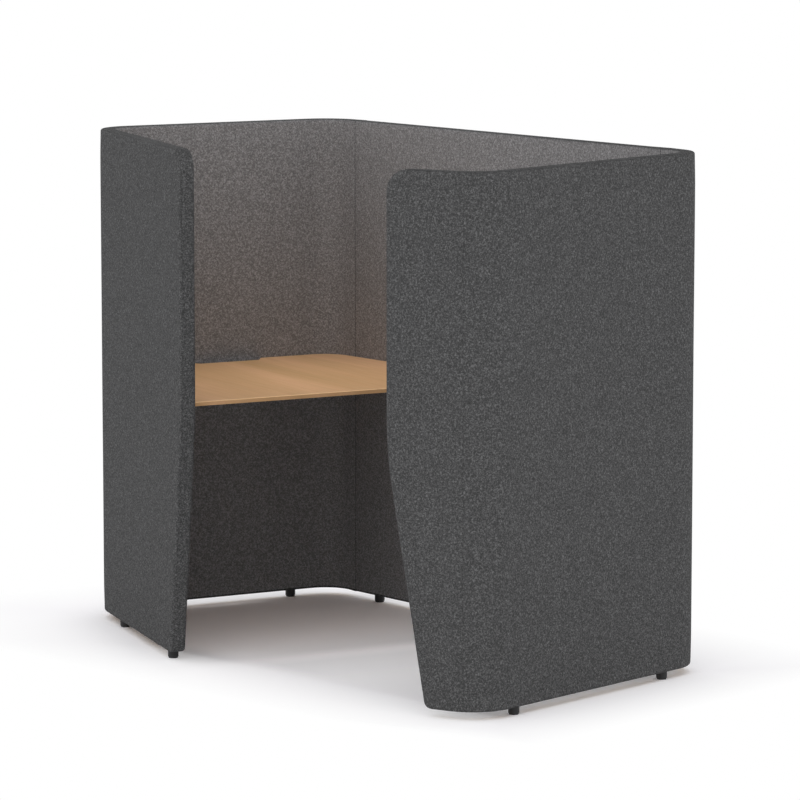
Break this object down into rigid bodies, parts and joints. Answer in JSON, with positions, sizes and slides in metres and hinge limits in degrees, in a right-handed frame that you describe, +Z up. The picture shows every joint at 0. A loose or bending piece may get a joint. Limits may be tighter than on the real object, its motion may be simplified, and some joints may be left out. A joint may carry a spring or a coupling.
{
  "type": "study carrel",
  "caption": "High-sided upholstered work booth with rounded bent walls, a side entry, a tapered wooden desk with a cable notch, and black levelling feet.",
  "frame": {"origin": "on the floor, under the middle of the footprint's box", "axes": "+Z up; +Y to the back wall behind the desk, the way the sitter faces; +X to the long side wall, with the entry at -X"},
  "size_m": [1.2388, 1.932, 1.45],
  "materials": {
    "fabric": "woven wool melange, matt",
    "plywood": "bent birch plywood, raw",
    "beech": "beech, satin lacquer",
    "steel": "zinc plated",
    "foot_plastic": "black, matt",
    "glide_nylon": "grey nylon"
  },
  "bodies": {
    "booth": {"wing_cover": "fabric", "wing_corner_cover": "fabric", "back_cover": "fabric", "back_corner_cover": "fabric", "side_cover": "fabric", "rear_corner_cover": "fabric", "rear_cover": "fabric", "return_corner_cover": "fabric", "return_cover": "fabric", "back_shell_core": "plywood", "side_core": "plywood", "rear_shell_core": "plywood", "keyhole_plates": "steel", "link_studs": "steel", "lock_plates": "steel", "lock_screws": "steel", "desk_top": "beech", "desk_rail_left": "steel", "desk_rail_right": "steel", "desk_bracket_left": "steel", "desk_bracket_right": "steel", "rail_screws": "steel", "desk_screws": "steel", "foot_inserts": "steel", "foot_studs": "steel"},
    "glide_1": {"foot_glide_1": "glide_nylon"},
    "foot_1": {"foot_1": "foot_plastic"},
    "glide_2": {"foot_glide_2": "glide_nylon"},
    "foot_2": {"foot_2": "foot_plastic"},
    "glide_3": {"foot_glide_3": "glide_nylon"},
    "foot_3": {"foot_3": "foot_plastic"},
    "glide_4": {"foot_glide_4": "glide_nylon"},
    "foot_4": {"foot_4": "foot_plastic"},
    "glide_5": {"foot_glide_5": "glide_nylon"},
    "foot_5": {"foot_5": "foot_plastic"},
    "glide_6": {"foot_glide_6": "glide_nylon"},
    "foot_6": {"foot_6": "foot_plastic"},
    "glide_7": {"foot_glide_7": "glide_nylon"},
    "foot_7": {"foot_7": "foot_plastic"},
    "glide_8": {"foot_glide_8": "glide_nylon"},
    "foot_8": {"foot_8": "foot_plastic"}
  },
  "joints": [
    {"name": "foot_1_lift", "type": "slide", "parent": "booth", "child": "glide_1", "axis": [0, 0, -1], "range_m": [0, 0.008]},
    {"name": "foot_1_turn", "type": "hinge", "parent": "glide_1", "child": "foot_1", "pos_m": [-0.56964, 0.22939, 0.015], "axis": [0, 0, -1], "range_deg": [0, 1920]},
    {"name": "foot_2_lift", "type": "slide", "parent": "booth", "child": "glide_2", "axis": [0, 0, -1], "range_m": [0, 0.008]},
    {"name": "foot_2_turn", "type": "hinge", "parent": "glide_2", "child": "foot_2", "pos_m": [-0.48195, 0.72671, 0.015], "axis": [0, 0, -1], "range_deg": [0, 1920]},
    {"name": "foot_3_lift", "type": "slide", "parent": "booth", "child": "glide_3", "axis": [0, 0, -1], "range_m": [0, 0.008]},
    {"name": "foot_3_turn", "type": "hinge", "parent": "glide_3", "child": "foot_3", "pos_m": [-0.2906, 0.94349, 0.015], "axis": [0, 0, -1], "range_deg": [0, 1920]},
    {"name": "foot_4_lift", "type": "slide", "parent": "booth", "child": "glide_4", "axis": [0, 0, -1], "range_m": [0, 0.008]},
    {"name": "foot_4_turn", "type": "hinge", "parent": "glide_4", "child": "foot_4", "pos_m": [0.1764, 0.94349, 0.015], "axis": [0, 0, -1], "range_deg": [0, 1920]},
    {"name": "foot_5_lift", "type": "slide", "parent": "booth", "child": "glide_5", "axis": [0, 0, -1], "range_m": [0, 0.008]},
    {"name": "foot_5_turn", "type": "hinge", "parent": "glide_5", "child": "foot_5", "pos_m": [0.36774, 0.72671, 0.015], "axis": [0, 0, -1], "range_deg": [0, 1920]},
    {"name": "foot_6_lift", "type": "slide", "parent": "booth", "child": "glide_6", "axis": [0, 0, -1], "range_m": [0, 0.008]},
    {"name": "foot_6_turn", "type": "hinge", "parent": "glide_6", "child": "foot_6", "pos_m": [0.57282, -0.43634, 0.015], "axis": [0, 0, -1], "range_deg": [0, 1920]},
    {"name": "foot_7_lift", "type": "slide", "parent": "booth", "child": "glide_7", "axis": [0, 0, -1], "range_m": [0, 0.008]},
    {"name": "foot_7_turn", "type": "hinge", "parent": "glide_7", "child": "foot_7", "pos_m": [0.4728, -0.70344, 0.015], "axis": [0, 0, -1], "range_deg": [0, 1920]},
    {"name": "foot_8_lift", "type": "slide", "parent": "booth", "child": "glide_8", "axis": [0, 0, -1], "range_m": [0, 0.008]},
    {"name": "foot_8_turn", "type": "hinge", "parent": "glide_8", "child": "foot_8", "pos_m": [-0.12767, -0.92199, 0.015], "axis": [0, 0, -1], "range_deg": [0, 1920]}
  ],
  "couplings": [
    {"joint": "foot_1_lift", "follows": "foot_1_turn", "m_per_rad": 0.00023873},
    {"joint": "foot_2_lift", "follows": "foot_2_turn", "m_per_rad": 0.00023873},
    {"joint": "foot_3_lift", "follows": "foot_3_turn", "m_per_rad": 0.00023873},
    {"joint": "foot_4_lift", "follows": "foot_4_turn", "m_per_rad": 0.00023873},
    {"joint": "foot_5_lift", "follows": "foot_5_turn", "m_per_rad": 0.00023873},
    {"joint": "foot_6_lift", "follows": "foot_6_turn", "m_per_rad": 0.00023873},
    {"joint": "foot_7_lift", "follows": "foot_7_turn", "m_per_rad": 0.00023873},
    {"joint": "foot_8_lift", "follows": "foot_8_turn", "m_per_rad": 0.00023873}
  ]
}
